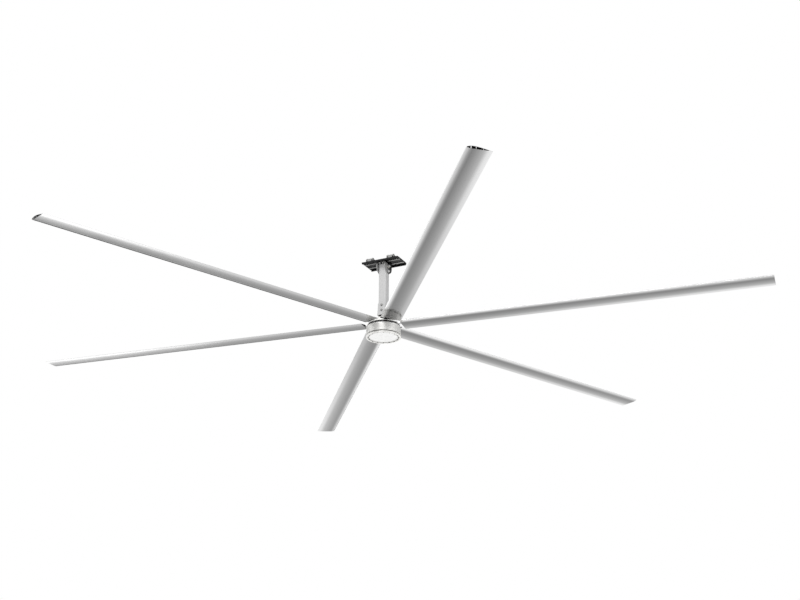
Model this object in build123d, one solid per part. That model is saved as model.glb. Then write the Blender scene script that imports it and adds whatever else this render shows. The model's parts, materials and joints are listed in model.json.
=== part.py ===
from build123d import *
import math
import os

os.makedirs("parts", exist_ok=True)

# High volume low speed ceiling fan, in millimetres.
# The origin is the centre of the mounting plate's top face, where the plate meets the beam.
# +Z is up and +X runs along the plate's long side, which is the direction of the beam.
# Names ending in share are parts of the size they are multiplied by, and angles are in degrees.

# Whole fan
tip_radius = 3650.0
blade_plane_drop = 658.0
blade_count = 6
first_blade_angle = 7.2

# Clearances shared by many pieces
overrun = 2.0
fit_gap = 0.05
seat_gap = 0.3
bolt_hole_gap = 0.5

# Mounting plate
plate_length = 392.0
plate_width = 205.0
plate_thickness = 8.0
plate_corner_radius = 6.0
lip_height = 14.0
lip_thickness = 5.0
corner_hole_radius = 7.0
corner_hole_inset = 16.0
plate_rib_reach = 43.0
plate_rib_width = 16.0
plate_rib_height = 7.0
plate_rib_start = 62.0
plate_rib_end_gap = 4.0
plate_rib_chamfer = 4.0

# Beam clamps: four stepped jaws that slide across the beam in slots of the plate
clamp_spacing = 224.0
clamp_length = 76.0
clamp_depth = 44.0
clamp_heel_depth = 12.0
clamp_outer_reach = 96.0
clamp_jaw_thickness = 12.0
clamp_flange_gap = 14.0
clamp_nose_chamfer = 5.0
clamp_travel = 6.0
clamp_seat_depth = 2.0
clamp_notch_width = 14.0
clamp_bolt_spacing = 56.0
clamp_bolt_reach = 77.0
clamp_bolt_tail = 4.0

# Metric fasteners: shank radius, width across flats, head height, nut height, washer
m16_radius = 8.0
m16_flats = 24.0
m16_head = 10.0
m16_nut = 13.0
m16_washer_radius = 15.0
m16_washer = 3.0
m12_radius = 6.0
m12_flats = 18.0
m12_head = 7.5
m12_nut = 10.0
m12_washer_radius = 12.0
m12_washer = 2.5
m10_radius = 5.0
m10_flats = 16.0
m10_nut = 8.0
m10_washer_radius = 10.0
m10_washer = 2.0
m10_sink_radius = 10.0
m10_sink_depth = 5.5
m8_radius = 4.0
m8_head_radius = 6.5
m8_head = 5.0
m6_radius = 3.0
m6_head_radius = 5.0
m6_head = 3.5
socket_share = 0.5
socket_depth_share = 0.6
bolt_tail = 5.0

# Upper yoke: an inverted U strap under the plate
yoke_thickness = 7.0
yoke_bend_radius = 11.0
yoke_depth = 148.0
yoke_screw_x = 18.0
yoke_screw_y = 58.0

# Swing pivot and its lock
pivot_drop = 47.0
lock_drop = 98.0
swing_limit = 10.0
slot_spare_angle = 1.0
bush_radius = 11.0
bush_length = 12.0
friction_washer_radius = 17.0
friction_washer_thickness = 1.5
lock_spacer_radius = 9.5

# Downrod: square tube
rod_width = 78.0
rod_wall = 5.0
rod_corner_radius = 11.0
rod_top_drop = 26.0
rod_foot_rise = 125.0
gland_drop = 168.0
gland_thread_radius = 10.0
gland_body_flats = 24.0
gland_body_length = 9.0
gland_dome_radius = 10.5
gland_dome_length = 14.0
gland_bore_radius = 5.0
gland_nut_height = 5.0

# Lower yoke: two cheeks on a base flange, heights above the blade plane
lower_yoke_base_rise = 100.0
lower_yoke_base_thickness = 15.0
lower_yoke_base_overhang = 11.0
lower_yoke_base_corner = 12.0
lower_yoke_cheek_thickness = 8.0
lower_yoke_top_rise = 222.0
lower_yoke_flare_rise = 182.0
lower_yoke_top_corner = 10.0
lower_bolt_rises = (148.0, 200.0)
wire_hole_radius = 16.0

# Motor shaft: fixed, hollow and flanged, heights above or below the blade plane
shaft_flange_radius = 47.0
shaft_flange_thickness = 12.0
shaft_radius = 25.0
shaft_foot_radius = 20.0
shaft_step_drop = 82.0
shaft_end_drop = 107.0
shaft_bore_radius = 11.0
flange_bolt_circle = 38.0
flange_bolt_count = 6
flange_bolt_grip = 12.0
locknut_radius = 29.0
locknut_height = 8.0
locknut_notch = 5.0
locknut_notch_count = 4

# Bearings
upper_bearing_radius = 45.0
upper_bearing_rise = 50.0
upper_bearing_height = 20.0
lower_bearing_radius = 40.0
lower_bearing_height = 16.0
race_share = 0.27
ball_radius = 5.6
ball_groove_gap = 0.25
ball_count = 12

# Stator
carrier_hub_radius = 37.0
carrier_rim_inner = 94.0
carrier_web_thickness = 12.0
carrier_window_radius = 17.0
carrier_window_count = 6
core_inner_radius = 102.0
core_outer_radius = 138.8
core_top_drop = 40.0
core_height = 40.0
slot_count = 24
slot_floor_radius = 111.0
slot_roof_radius = 132.0
slot_width = 15.6
slot_mouth_width = 4.0
coil_leg_width = 7.0
coil_end_height = 7.0

# Rotor drum, its covers and magnets
drum_radius = 165.0
drum_inner_radius = 150.0
drum_top_drop = 18.0
drum_bottom_drop = 98.0
drum_rim_chamfer = 2.0
drum_ledge_radius = 140.0
drum_ledge_height = 10.0
magnet_count = 20
magnet_inner_radius = 140.0
magnet_height = 46.0
magnet_arc_share = 0.88
top_cover_radius = 160.0
top_cover_thickness = 10.0
top_cover_pad_inner = 96.0
top_cover_pad_height = 10.0
top_screw_circle = 155.0
top_screw_count = 12
top_screw_grip = 14.0

# Upper bearing housing with its seal cap
housing_radius = 60.0
housing_bore = 36.0
housing_flange_radius = 84.0
housing_flange_thickness = 10.0
housing_spigot_depth = 8.0
housing_screw_circle = 72.0
housing_screw_count = 6
seal_cap_thickness = 7.0
seal_cap_bore = 26.0
seal_cap_chamfer = 1.5
seal_screw_circle = 52.5
seal_screw_count = 6
seal_screw_grip = 10.0

# Bottom cover, end ring and cover disc
bottom_cover_radius = 152.0
bottom_cover_thickness = 10.0
bottom_boss_radius = 50.0
bottom_cover_hole = 33.0
end_ring_radius = 168.0
end_ring_height = 16.0
end_ring_inner_radius = 153.0
end_ring_chamfer = 2.5
end_ring_flange_inner = 138.0
end_ring_recess = 4.0
end_ring_rib_count = 32
end_ring_rib_width = 4.0
end_ring_rib_setback = 0.5
end_screw_circle = 146.0
end_screw_count = 16
end_screw_first_angle = 4.5
end_screw_grip = 30.0
cover_disc_radius = 137.0
cover_disc_wall = 3.0
cover_disc_edge_height = 11.0
cover_disc_flat_radius = 106.0
cover_disc_height = 17.0

# Blades: hollow extrusions, the profile runs from the leading edge to the trailing edge
blade_chord = 200.0
blade_lead = 67.0
blade_root_radius = 180.0
blade_pitch = 5.1
blade_chord_rise = 6.2
blade_top_height = 19.5
blade_belly_depth = 7.6
blade_tail_thickness = 1.6
blade_wall = 2.2
crest_share = 0.3
crease_share = 0.18
nose_power = 0.55
belly_power = 0.8
cell_shares = ((0.03, 0.17), (0.20, 0.365), (0.385, 0.64), (0.66, 0.85))
arm_cell = 1
outline_points = 11
blade_bolt_radii = (232.0, 332.0, 432.0)
blade_bolt_grip = 12.0

# Blade arms and the clamp plate that holds them
arm_inner_reach = 92.0
arm_twist_start = 152.0
arm_twist_end = 178.0
arm_outer_reach = 480.0
arm_root_thickness = 14.0
arm_bolt_reaches = (108.0, 136.0)
arm_bolt_grip = 16.0
clamp_plate_radius = 152.0
clamp_plate_bore = 88.0
clamp_plate_thickness = 8.0
clamp_plate_chamfer = 1.5

# Levels worked out from the sizes above
blade_level = -blade_plane_drop
yoke_web_level = -plate_thickness - yoke_thickness
yoke_inner_width = rod_width + 2 * friction_washer_thickness
drum_top = blade_level - drum_top_drop
drum_bottom = blade_level - drum_bottom_drop
cover_top = drum_top + top_cover_thickness
arm_root_top = cover_top + arm_root_thickness
clamp_plate_top = arm_root_top + clamp_plate_thickness
lower_base_bottom = blade_level + lower_yoke_base_rise
lower_base_top = lower_base_bottom + lower_yoke_base_thickness
shaft_flange_bottom = lower_base_bottom - shaft_flange_thickness
housing_top = blade_level + upper_bearing_rise + upper_bearing_height
bottom_cover_bottom = drum_bottom - bottom_cover_thickness
end_ring_bottom = bottom_cover_bottom - end_ring_height
shaft_step = blade_level - shaft_step_drop
core_top = blade_level - core_top_drop
core_bottom = core_top - core_height

BASE = (Align.CENTER, Align.CENTER, Align.MIN)
OUTWARD = (1, 0, 0)


# Basic shapes
def disc(radius, bottom, top):
    """Upright cylinder between two levels."""
    return Pos(0, 0, bottom) * Cylinder(radius, top - bottom, align=BASE)


def ring(outer, inner, bottom, top):
    """Upright tube between two levels."""
    return disc(outer, bottom, top) - disc(inner, bottom - overrun, top + overrun)


def block(length, width, bottom, top, corner=0):
    """Upright block centred on the axis, with its upright edges rounded."""
    outline = Rectangle(length, width)
    if corner > 0:
        outline = RectangleRounded(length, width, corner)
    return Pos(0, 0, bottom) * extrude(outline, top - bottom)


def around(solid, count, start=0):
    """Copies of one solid at even angles round the upright axis."""
    return [Rot(0, 0, start + 360 * index / count) * solid for index in range(count)]


def spread(solid, radius, count, level, start=0):
    """Copies of one solid on a circle round the axis, at one level."""
    return around(Pos(radius, 0, level) * solid, count, start)


def cut(solid, tools):
    """The solid less every tool in a list."""
    for tool in tools:
        solid = solid - tool
    return solid


def write(name, pieces):
    """Writes one node, whose pieces stay separate solids."""
    solids = []
    for piece in pieces:
        solids.extend(piece.solids())
    shape = solids[0] if len(solids) == 1 else Compound(solids)
    shape.label = name
    export_step(shape, "parts/" + name + ".step")


# Fasteners stand with the bearing face of the head at level zero and the shank below it
def hexagon(flats, height):
    """Hexagonal prism on level zero with its corners eased."""
    prism = extrude(RegularPolygon(flats / 2, 6, major_radius=False), height)
    corner_radius = flats / 2 / math.cos(math.pi / 6)
    cone_height = corner_radius + height
    top_ease = Cone(cone_height, 0, cone_height, align=BASE)
    return prism & top_ease


def hex_bolt(radius, flats, head, length):
    """Hexagon bolt."""
    shank = Pos(0, 0, -length) * Cylinder(radius, length, align=BASE)
    return hexagon(flats, head) + shank


def hex_nut(radius, flats, height):
    """Hexagon nut that hangs below level zero."""
    nut = Rot(180, 0, 0) * hexagon(flats, height)
    return nut - disc(radius + fit_gap, -height - overrun, overrun)


def washer(radius, outer, thickness):
    """Flat washer that hangs below level zero."""
    return ring(outer, radius + fit_gap, -thickness, 0)


def socket_screw(radius, head_radius, head, length):
    """Cylinder head screw with a hexagon socket."""
    shank = Pos(0, 0, -length) * Cylinder(radius, length, align=BASE)
    screw = Cylinder(head_radius, head, align=BASE) + shank
    socket = extrude(RegularPolygon(head_radius * socket_share, 6), head + overrun)
    return screw - Pos(0, 0, head * (1 - socket_depth_share)) * socket


def sunk_screw(radius, sink_radius, sink_depth, length):
    """Countersunk screw whose flat top lies at level zero."""
    shank = Pos(0, 0, -length) * Cylinder(radius, length, align=BASE)
    head = Pos(0, 0, -sink_depth) * Cone(radius, sink_radius, sink_depth, align=BASE)
    socket = extrude(RegularPolygon(radius * 2 * socket_share, 6), sink_depth)
    return shank + head - Pos(0, 0, -sink_depth * socket_depth_share) * socket


# Mounting plate and beam clamps
def clamp_bolt_places():
    """Middle of each clamp bolt at rest, as clamp number, x and y."""
    places = []
    for number, (side_x, side_y) in enumerate(((-1, -1), (1, -1), (1, 1), (-1, 1)), 1):
        for step in (-1, 1):
            x = side_x * clamp_spacing / 2 + step * clamp_bolt_spacing / 2
            places.append((number, x, side_y * clamp_bolt_reach))
    return places


def mounting_plate():
    """Steel plate with lips and ribs below, and a lower seat for the clamps along each long edge."""
    plate = block(plate_length, plate_width, -plate_thickness, 0, plate_corner_radius)
    seat_start = clamp_outer_reach - clamp_heel_depth - clamp_travel - bolt_hole_gap
    seat_width = plate_width / 2 - seat_start + overrun
    for side in (-1, 1):
        seat_middle = side * (seat_start + seat_width / 2)
        plate -= Pos(0, seat_middle, 0) * block(plate_length + overrun, seat_width, -clamp_seat_depth, overrun)
    lip_bottom = -plate_thickness - lip_height
    rib_end = plate_length / 2 - plate_rib_end_gap
    rib_middle = (plate_rib_start + rib_end) / 2
    rib = plate_rib(rib_end - plate_rib_start)
    for side in (-1, 1):
        lip_middle = side * (plate_width - lip_thickness) / 2
        lip_length = plate_length - 2 * plate_corner_radius
        plate += Pos(0, lip_middle, 0) * block(lip_length, lip_thickness, lip_bottom, -plate_thickness)
        for end in (-1, 1):
            plate += Pos(end * rib_middle, side * plate_rib_reach, 0) * rib
    slot_length = 2 * (m12_radius + bolt_hole_gap + clamp_travel)
    slot = SlotOverall(slot_length, 2 * (m12_radius + bolt_hole_gap), rotation=90)
    cutter_height = plate_thickness + 2 * overrun
    slot_cutter = Pos(0, 0, -plate_thickness - overrun) * extrude(slot, cutter_height)
    plate = cut(plate, [Pos(x, y, 0) * slot_cutter for number, x, y in clamp_bolt_places()])
    corner_x = plate_length / 2 - corner_hole_inset
    corner_y = plate_width / 2 - corner_hole_inset
    corner_drill = disc(corner_hole_radius, -plate_thickness - overrun, overrun)
    corners = [Pos(x, y, 0) * corner_drill for x in (-corner_x, corner_x) for y in (-corner_y, corner_y)]
    plate = cut(plate, corners)
    sink_depth = m10_sink_depth + seat_gap
    sink = Pos(0, 0, -sink_depth) * Cone(m10_radius, m10_sink_radius + seat_gap, sink_depth, align=BASE)
    drill = disc(m10_radius + fit_gap, -plate_thickness - overrun, overrun)
    return cut(plate, [Pos(x, y, 0) * (sink + drill) for x, y in yoke_screw_places()])


def plate_rib(length):
    """Stiffening rib along X under the plate, with its lower edges eased."""
    rib = block(length, plate_rib_width, -plate_thickness - plate_rib_height, -plate_thickness)
    return chamfer(rib.edges().group_by(Axis.Z)[0], plate_rib_chamfer)


def beam_clamp():
    """Stepped jaw of the clamp on the +Y side, its heel notched at the bolts so that it slips on from outside."""
    jaw_top = clamp_flange_gap + clamp_jaw_thickness
    nose = clamp_outer_reach - clamp_depth
    heel = clamp_outer_reach - clamp_heel_depth
    outline = Polyline(
        (nose, clamp_flange_gap),
        (heel, clamp_flange_gap),
        (heel, -clamp_seat_depth),
        (clamp_outer_reach, -clamp_seat_depth),
        (clamp_outer_reach, jaw_top),
        (nose + clamp_nose_chamfer, jaw_top),
        (nose, jaw_top - clamp_nose_chamfer),
        close=True,
    )
    jaw = extrude(Plane.YZ * make_face(outline), clamp_length / 2, both=True)
    drill = disc(m12_radius + bolt_hole_gap, 0, jaw_top + overrun)
    holes = [Pos(step * clamp_bolt_spacing / 2, clamp_bolt_reach, 0) * drill for step in (-1, 1)]
    notch_depth = 2 * clamp_heel_depth
    notch = Box(clamp_notch_width, notch_depth, clamp_flange_gap + clamp_seat_depth, align=BASE)
    notches = [Pos(step * clamp_bolt_spacing / 2, clamp_outer_reach, -clamp_seat_depth) * notch for step in (-1, 1)]
    return cut(jaw, holes + notches)


def clamp_bolt_set(x, y):
    """Bolt of a clamp with its washer and nut under the plate."""
    grip = clamp_flange_gap + clamp_jaw_thickness + plate_thickness
    length = grip + m12_washer + m12_nut + clamp_bolt_tail
    bolt = Pos(x, y, clamp_flange_gap + clamp_jaw_thickness) * hex_bolt(m12_radius, m12_flats, m12_head, length)
    under = Pos(x, y, -plate_thickness) * washer(m12_radius, m12_washer_radius, m12_washer)
    nut = Pos(x, y, -plate_thickness - m12_washer) * hex_nut(m12_radius, m12_flats, m12_nut)
    return [bolt, under, nut]


def write_clamps():
    """Four clamps, each with its two bolts."""
    jaw = beam_clamp()
    for number, (side_x, side_y) in enumerate(((-1, -1), (1, -1), (1, 1), (-1, 1)), 1):
        turned = jaw if side_y > 0 else Rot(0, 0, 180) * jaw
        write("beam_clamp_" + str(number), [Pos(side_x * clamp_spacing / 2, 0, 0) * turned])
        bolts = []
        for owner, x, y in clamp_bolt_places():
            if owner == number:
                bolts.extend(clamp_bolt_set(x, y))
        write("clamp_bolts_" + str(number), bolts)


# Upper yoke, its screws and the two cross bolts
def yoke_screw_places():
    """Places of the four screws that hold the yoke to the plate."""
    return [(x, y) for x in (-yoke_screw_x, yoke_screw_x) for y in (-yoke_screw_y, yoke_screw_y)]


def yoke_arc_slot():
    """Arc slot round the pivot for the lock bolt, as a cutter along X."""
    arm = lock_drop - pivot_drop
    half_angle = swing_limit + slot_spare_angle
    route = CenterArc((0, 0), arm, 270 - half_angle, 2 * half_angle)
    slot = SlotArc(route, 2 * (m12_radius + bolt_hole_gap))
    outer_width = yoke_inner_width + 2 * yoke_thickness + 2 * overrun
    return Pos(0, 0, -pivot_drop) * extrude(Plane.YZ * slot, outer_width / 2, both=True)


def upper_yoke():
    """Inverted U strap whose cheeks end in a half disc about the pivot."""
    outer_width = yoke_inner_width + 2 * yoke_thickness
    low = -pivot_drop - yoke_depth / 2
    height = -plate_thickness - low
    outer_radius = yoke_bend_radius + yoke_thickness
    full = Pos(0, -plate_thickness - height / 2) * Rectangle(outer_width, height)
    full = fillet(full.vertices().group_by(Axis.Y)[-1], outer_radius)
    inner_height = height - yoke_thickness + overrun
    inner = Pos(0, yoke_web_level - inner_height / 2) * Rectangle(yoke_inner_width, inner_height)
    inner = fillet(inner.vertices().group_by(Axis.Y)[-1], yoke_bend_radius)
    strap = extrude(Plane.XZ * (full - inner), yoke_depth / 2, both=True)
    side_height = pivot_drop + overrun
    side = Pos(0, overrun - side_height / 2) * Rectangle(yoke_depth, side_height)
    side += Pos(0, -pivot_drop) * Circle(yoke_depth / 2)
    yoke = strap & extrude(Plane.YZ * side, outer_width, both=True)
    pivot_drill = Pos(0, 0, -pivot_drop) * Rot(0, 90, 0) * Cylinder(m16_radius + fit_gap, 2 * outer_width)
    screw_drill = disc(m10_radius + fit_gap, yoke_web_level - overrun, overrun)
    screws = [Pos(x, y, 0) * screw_drill for x, y in yoke_screw_places()]
    return cut(yoke, [pivot_drill, yoke_arc_slot()] + screws)


def yoke_screws():
    """Four countersunk screws, flush with the plate's top face."""
    length = plate_thickness + yoke_thickness + m10_washer + m10_nut + bolt_tail
    screw = Pos(0, 0, -seat_gap) * sunk_screw(m10_radius, m10_sink_radius, m10_sink_depth, length)
    return [Pos(x, y, 0) * screw for x, y in yoke_screw_places()]


def yoke_nuts():
    """Washers and nuts under the yoke's web."""
    pieces = []
    for x, y in yoke_screw_places():
        pieces.append(Pos(x, y, yoke_web_level) * washer(m10_radius, m10_washer_radius, m10_washer))
        pieces.append(Pos(x, y, yoke_web_level - m10_washer) * hex_nut(m10_radius, m10_flats, m10_nut))
    return pieces


def cross_bolt(radius, flats, head, washer_outer, washer_height, nut, drop):
    """Bolt along X through the yoke: the bolt with its head at -X, then its washers and nut."""
    half = yoke_inner_width / 2 + yoke_thickness
    length = 2 * (half + washer_height) + nut + bolt_tail
    toward_head = Pos(-half, 0, -drop) * Rot(0, -90, 0)
    toward_nut = Pos(half, 0, -drop) * Rot(0, -90, 0)
    bolt = toward_head * Pos(0, 0, washer_height) * hex_bolt(radius, flats, head, length)
    head_washer = toward_head * Pos(0, 0, washer_height) * washer(radius, washer_outer, washer_height)
    nut_washer = toward_nut * washer(radius, washer_outer, washer_height)
    nut_piece = toward_nut * Pos(0, 0, -washer_height) * hex_nut(radius, flats, nut)
    return bolt, [head_washer, nut_washer, nut_piece]


# Downrod with bushes, friction washers, spacer and cable gland
def downrod():
    """Square tube that hangs from the pivot bolt."""
    foot = blade_level + rod_foot_rise
    rod = block(rod_width, rod_width, foot, -rod_top_drop, rod_corner_radius)
    inside = rod_width - 2 * rod_wall
    rod -= block(inside, inside, foot - overrun, -rod_top_drop + overrun, rod_corner_radius - rod_wall)
    pivot_drill = Pos(0, 0, -pivot_drop) * Rot(0, 90, 0) * Cylinder(bush_radius + fit_gap, 2 * rod_width)
    lock_drill = Pos(0, 0, -lock_drop) * Rot(0, 90, 0) * Cylinder(m12_radius + fit_gap, 2 * rod_width)
    gland_drill = Pos(0, rod_width / 2, -gland_drop) * Rot(90, 0, 0) * Cylinder(gland_thread_radius, rod_width / 2)
    lower_drill = Rot(90, 0, 0) * Cylinder(m12_radius + fit_gap, 2 * rod_width)
    lower = [Pos(0, 0, blade_level + rise) * lower_drill for rise in lower_bolt_rises]
    return cut(rod, [pivot_drill, lock_drill, gland_drill] + lower)


def rod_bushes():
    """Plain bushes pressed into the two walls of the tube."""
    bush = ring(bush_radius, m16_radius + fit_gap, -bush_length, 0)
    face = Pos(rod_width / 2, 0, -pivot_drop) * Rot(0, 90, 0)
    return [face * bush, Rot(0, 0, 180) * face * bush]


def friction_washers():
    """Washers that fill the space between tube and yoke."""
    disc_washer = ring(friction_washer_radius, m16_radius + seat_gap, 0, friction_washer_thickness)
    face = Pos(rod_width / 2, 0, -pivot_drop) * Rot(0, 90, 0)
    return [face * disc_washer, Rot(0, 0, 180) * face * disc_washer]


def lock_spacer():
    """Tube inside the downrod that keeps the lock bolt from crushing it."""
    length = rod_width - 2 * rod_wall
    spacer = ring(lock_spacer_radius, m12_radius + fit_gap, -length / 2, length / 2)
    return Pos(0, 0, -lock_drop) * Rot(0, 90, 0) * spacer


def cable_gland():
    """Gland on the +Y face of the downrod: body, domed cap and inner nut in one line."""
    face = Pos(0, rod_width / 2, -gland_drop) * Rot(-90, 0, 0)
    body = hexagon(gland_body_flats, gland_body_length)
    thread_length = rod_wall + gland_nut_height + overrun
    thread = disc(gland_thread_radius - fit_gap, -thread_length, gland_body_length)
    dome = Pos(0, 0, gland_body_length) * Cylinder(gland_dome_radius, gland_dome_length, align=BASE)
    dome = fillet(dome.edges().group_by(Axis.Z)[-1], gland_dome_radius / 3)
    bore_top = gland_body_length + gland_dome_length + overrun
    gland = body + thread + dome - disc(gland_bore_radius, -thread_length - overrun, bore_top)
    nut = Pos(0, 0, -rod_wall) * hex_nut(gland_thread_radius, gland_body_flats, gland_nut_height)
    return [face * gland, face * nut]


# Lower yoke and its bolts
def lower_yoke():
    """Base flange with two flared cheeks on the Y faces of the downrod."""
    cheek_outer = rod_width / 2 + lower_yoke_cheek_thickness
    base_length = rod_width + 2 * lower_yoke_base_overhang
    base = block(base_length, 2 * cheek_outer, lower_base_bottom, lower_base_top, lower_yoke_base_corner)
    half_base = base_length / 2 - lower_yoke_base_corner / 2
    flare = blade_level + lower_yoke_flare_rise
    top = blade_level + lower_yoke_top_rise
    outline = Polyline(
        (-half_base, lower_base_top - overrun),
        (half_base, lower_base_top - overrun),
        (rod_width / 2, flare),
        (rod_width / 2, top),
        (-rod_width / 2, top),
        (-rod_width / 2, flare),
        close=True,
    )
    face = make_face(outline)
    face = fillet(face.vertices().group_by(Axis.Y)[-1], lower_yoke_top_corner)
    cheek = extrude(Plane.XZ * face, -lower_yoke_cheek_thickness)
    yoke = base + Pos(0, rod_width / 2, 0) * cheek + Pos(0, -cheek_outer, 0) * cheek
    drill = Rot(90, 0, 0) * Cylinder(m12_radius + fit_gap, 4 * cheek_outer)
    cross = [Pos(0, 0, blade_level + rise) * drill for rise in lower_bolt_rises]
    wire_hole = disc(wire_hole_radius, lower_base_bottom - overrun, lower_base_top + overrun)
    tap = disc(m8_radius + fit_gap, -overrun, flange_bolt_grip)
    taps = spread(tap, flange_bolt_circle, flange_bolt_count, lower_base_bottom)
    return cut(yoke, cross + [wire_hole] + taps)


def lower_yoke_bolts():
    """Two bolts along Y with their washers and nuts, as bolts and nut sets."""
    half = rod_width / 2 + lower_yoke_cheek_thickness
    length = 2 * (half + m12_washer) + m12_nut + bolt_tail
    bolts = []
    nuts = []
    for rise in lower_bolt_rises:
        toward_head = Pos(0, -half, blade_level + rise) * Rot(90, 0, 0)
        toward_nut = Pos(0, half, blade_level + rise) * Rot(90, 0, 0)
        bolts.append(toward_head * Pos(0, 0, m12_washer) * hex_bolt(m12_radius, m12_flats, m12_head, length))
        nuts.append(toward_head * Pos(0, 0, m12_washer) * washer(m12_radius, m12_washer_radius, m12_washer))
        nuts.append(toward_nut * washer(m12_radius, m12_washer_radius, m12_washer))
        nuts.append(toward_nut * Pos(0, 0, -m12_washer) * hex_nut(m12_radius, m12_flats, m12_nut))
    return bolts, nuts


# Fixed shaft and what it carries
def motor_shaft():
    """Hollow shaft hung from the lower yoke, with a smaller foot for the lower bearing."""
    end = blade_level - shaft_end_drop
    shaft = disc(shaft_flange_radius, shaft_flange_bottom, lower_base_bottom)
    shaft += disc(shaft_radius, shaft_step, shaft_flange_bottom)
    shaft += disc(shaft_foot_radius, end, shaft_step)
    shaft -= disc(shaft_bore_radius, end - overrun, lower_base_bottom + overrun)
    drill = disc(m8_radius + fit_gap, -overrun, shaft_flange_thickness + overrun)
    return cut(shaft, spread(drill, flange_bolt_circle, flange_bolt_count, shaft_flange_bottom))


def shaft_flange_bolts():
    """Screws from below through the shaft's flange into the lower yoke."""
    length = shaft_flange_thickness + flange_bolt_grip - seat_gap
    screw = Rot(180, 0, 0) * socket_screw(m8_radius, m8_head_radius, m8_head, length)
    return spread(screw, flange_bolt_circle, flange_bolt_count, shaft_flange_bottom)


def shaft_locknut():
    """Notched nut that holds the lower bearing on the shaft."""
    top = shaft_step - lower_bearing_height
    nut = ring(locknut_radius, shaft_foot_radius + fit_gap, top - locknut_height, top)
    notch = Pos(locknut_radius, 0, top - locknut_height / 2) * Box(locknut_notch, locknut_notch, 2 * locknut_height)
    return cut(nut, around(notch, locknut_notch_count))


def stator_carrier():
    """Webbed wheel that holds the core on the shaft."""
    web_middle = (core_top + core_bottom) / 2
    carrier = ring(carrier_hub_radius, shaft_radius + fit_gap, core_bottom, core_top)
    web_bottom = web_middle - carrier_web_thickness / 2
    web_top = web_middle + carrier_web_thickness / 2
    carrier += ring(core_inner_radius - fit_gap, shaft_radius + fit_gap, web_bottom, web_top)
    carrier += ring(core_inner_radius - fit_gap, carrier_rim_inner, core_bottom, core_top)
    window = disc(carrier_window_radius, -core_height, core_height)
    window_circle = (carrier_hub_radius + carrier_rim_inner) / 2
    return cut(carrier, spread(window, window_circle, carrier_window_count, web_middle))


def stator_core():
    """Laminated core with open slots round its rim."""
    core = ring(core_outer_radius, core_inner_radius, core_bottom, core_top)
    slot_depth = slot_roof_radius - slot_floor_radius
    slot = Pos((slot_floor_radius + slot_roof_radius) / 2, 0, 0) * Box(slot_depth, slot_width, 2 * core_height)
    mouth_depth = core_outer_radius - slot_roof_radius + 2 * overrun
    mouth_middle = slot_roof_radius - overrun + mouth_depth / 2
    mouth = Pos(mouth_middle, 0, 0) * Box(mouth_depth, slot_mouth_width, 2 * core_height)
    cutter = Pos(0, 0, (core_top + core_bottom) / 2) * (slot + mouth)
    return cut(core, around(cutter, slot_count))


def stator_windings():
    """One coil round each tooth: two legs in neighbouring slots and two end turns."""
    pitch = 360 / slot_count
    inner = slot_floor_radius + seat_gap
    outer = slot_roof_radius - seat_gap
    leg_top = core_top + coil_end_height
    leg_bottom = core_bottom - coil_end_height
    side = (slot_width - coil_leg_width) / 2 - seat_gap
    leg = Pos((inner + outer) / 2, side, (leg_top + leg_bottom) / 2)
    leg = leg * Box(outer - inner, coil_leg_width, leg_top - leg_bottom)
    first = leg
    second = Rot(0, 0, pitch) * mirror(leg, Plane.XZ)
    start_angle = math.degrees(math.atan2(side, outer))
    sector = CenterArc((0, 0), outer, start_angle, pitch - 2 * start_angle)
    inner_sector = CenterArc((0, 0), inner, start_angle, pitch - 2 * start_angle)
    ends = [Line(sector @ 0, inner_sector @ 0), Line(sector @ 1, inner_sector @ 1)]
    turn = extrude(make_face([sector, inner_sector] + ends), coil_end_height - seat_gap)
    coil = first + second
    coil += Pos(0, 0, core_top + seat_gap) * turn
    coil += Pos(0, 0, core_bottom - coil_end_height) * turn
    return around(coil, slot_count)


# Bearings: races, with the balls between them
def bearing_sizes():
    """Bore radius, outer radius, bottom and top of the upper and lower bearing."""
    upper_bottom = blade_level + upper_bearing_rise
    upper = (shaft_radius, upper_bearing_radius, upper_bottom, upper_bottom + upper_bearing_height)
    lower = (shaft_foot_radius, lower_bearing_radius, shaft_step - lower_bearing_height, shaft_step)
    return [upper, lower]


def ball_track(bore, outer, bottom, top):
    """Ring groove that both races share."""
    middle = (bore + outer) / 2
    level = (bottom + top) / 2
    return Pos(0, 0, level) * Torus(middle, ball_radius + ball_groove_gap)


def bearing_inner_races():
    """Inner races on the fixed shaft."""
    races = []
    for bore, outer, bottom, top in bearing_sizes():
        race_outer = bore + race_share * (outer - bore)
        races.append(ring(race_outer, bore + fit_gap, bottom, top) - ball_track(bore, outer, bottom, top))
    return races


def bearing_outer_races():
    """Outer races in the turning housings."""
    races = []
    for bore, outer, bottom, top in bearing_sizes():
        race_inner = outer - race_share * (outer - bore)
        races.append(ring(outer - fit_gap, race_inner, bottom, top) - ball_track(bore, outer, bottom, top))
    return races


def bearing_balls():
    """Balls of both bearings."""
    balls = []
    for bore, outer, bottom, top in bearing_sizes():
        balls.extend(spread(Sphere(ball_radius), (bore + outer) / 2, ball_count, (bottom + top) / 2))
    return balls


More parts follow.
